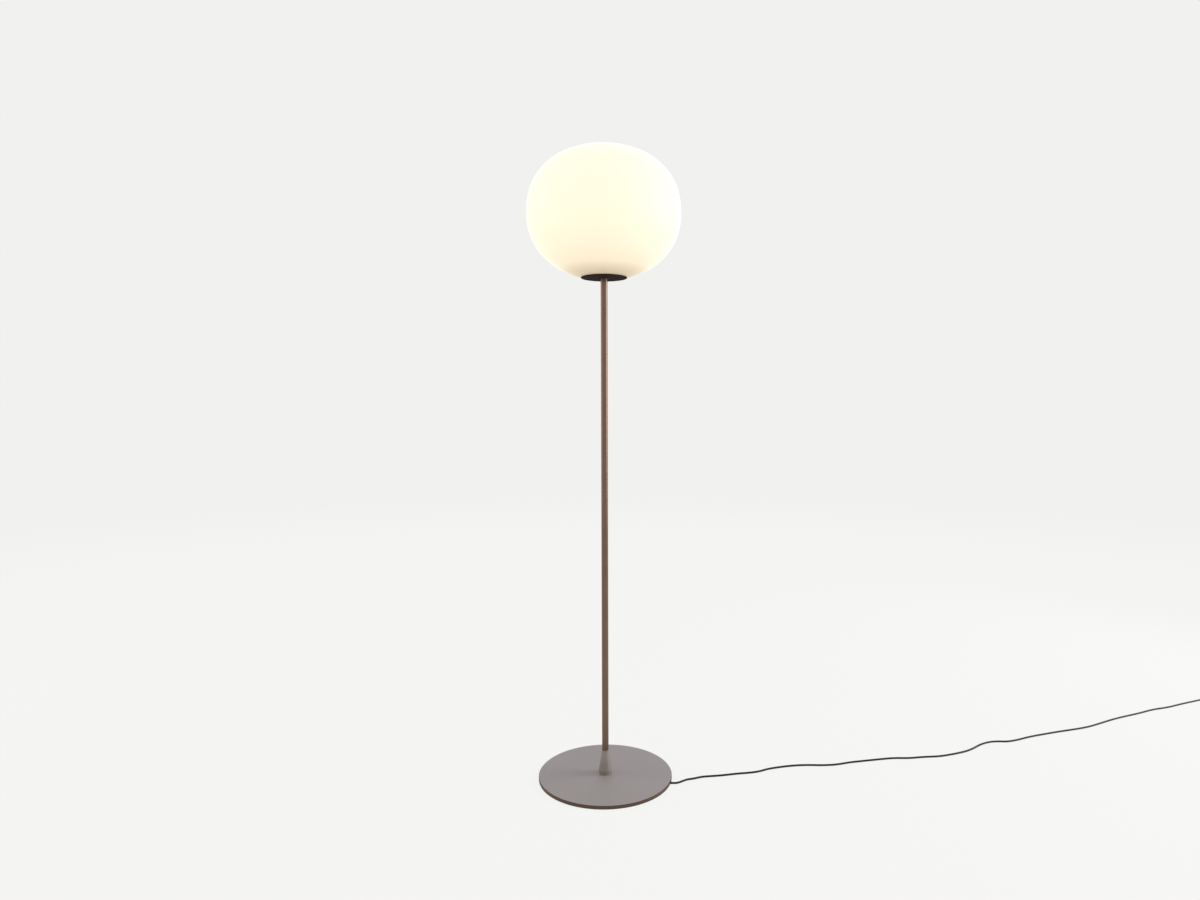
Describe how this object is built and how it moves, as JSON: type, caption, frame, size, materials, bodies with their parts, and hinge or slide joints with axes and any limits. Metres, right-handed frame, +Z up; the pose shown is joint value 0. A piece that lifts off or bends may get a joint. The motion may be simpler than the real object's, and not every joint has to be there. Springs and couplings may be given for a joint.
{
  "type": "floor lamp",
  "caption": "Floor lamp: an opal glass globe on a thin stem and a flat round base, with a mains lead, foot switch and plug.",
  "frame": {"origin": "on the floor, at the centre of the base's underside, on the stem's axis", "axes": "+Z up along the stem; +X to the right and +Y away from someone who faces the lamp"},
  "size_m": [1.9127, 0.624, 1.35],
  "materials": {
    "pad": "fine-textured",
    "base": "satin, with a darker brown edge",
    "stem": "satin warm grey",
    "plate": "matt dark brown",
    "screw": "zinc plated",
    "brass": "satin",
    "spring": "bright",
    "gasket": "soft, translucent",
    "holder": "black moulded",
    "ceramic": "white ceramic",
    "core": "insulated core",
    "bulb_tip": "tinned",
    "bulb_black": "black glass",
    "bulb_cap": "rolled",
    "bulb_glass": "frosted, lit",
    "globe": "opal, lit from inside",
    "cord": "satin black-brown sheath",
    "cord_rubber": "matt",
    "tie": "matt",
    "switch_shell": "fine moulded texture",
    "switch_button": "satin",
    "switch_inner": "moulded",
    "plug": "fine moulded texture",
    "plug_pin": "nickel plated"
  },
  "bodies": {
    "stand": {"base_pad": "pad", "base_plate": "base", "cord_bushing": "cord_rubber", "stem_collar": "stem", "collar_screws": "screw", "collar_grub_screw": "screw", "stem_tube": "stem", "stem_insert": "screw", "stem_lead": "cord", "support_plate": "plate", "head_nipple": "screw", "head_washer": "screw", "head_nut": "brass", "globe_gasket": "gasket", "globe_springs": "spring", "spring_rivets": "plate", "lampholder_cap": "holder", "lampholder_skirt": "holder", "lampholder_insert": "ceramic", "lampholder_thread": "brass", "terminal_screws": "brass", "lampholder_contact": "brass", "lead_cores": "core", "cord_run": "cord", "cord_tail": "cord", "cord_coil": "cord", "cord_end": "cord", "cord_tie": "tie", "switch_base": "switch_shell", "switch_cover": "switch_shell", "switch_module": "switch_inner", "switch_screws": "screw", "switch_cores": "core", "plug_body": "plug", "plug_pins": "plug_pin", "plug_pin_sleeves": "plug"},
    "globe": {"globe_glass": "globe"},
    "bulb_tip": {"bulb_contact": "bulb_tip"},
    "bulb": {"bulb_insulator": "bulb_black", "bulb_cap": "bulb_cap", "bulb_envelope": "bulb_glass"},
    "button": {"switch_button": "switch_button"}
  },
  "joints": [
    {"name": "globe_lift", "type": "slide", "parent": "stand", "child": "globe", "axis": [0, 0, 1], "range_m": [0, 0.18]},
    {"name": "bulb_lift", "type": "slide", "parent": "stand", "child": "bulb_tip", "axis": [0, 0, 1], "range_m": [0, 0.0254]},
    {"name": "bulb_turn", "type": "hinge", "parent": "bulb_tip", "child": "bulb", "pos_m": [0, 0, 1.1892], "axis": [0, 0, 1], "range_deg": [0, 2520]},
    {"name": "switch_press", "type": "slide", "parent": "stand", "child": "button", "axis": [0, 0, -1], "range_m": [0, 0.0035], "stiffness_N_per_m": 600, "springref_m": -0.002}
  ],
  "couplings": [
    {"joint": "bulb_turn", "follows": "bulb_lift", "rad_per_m": 1731.4}
  ]
}
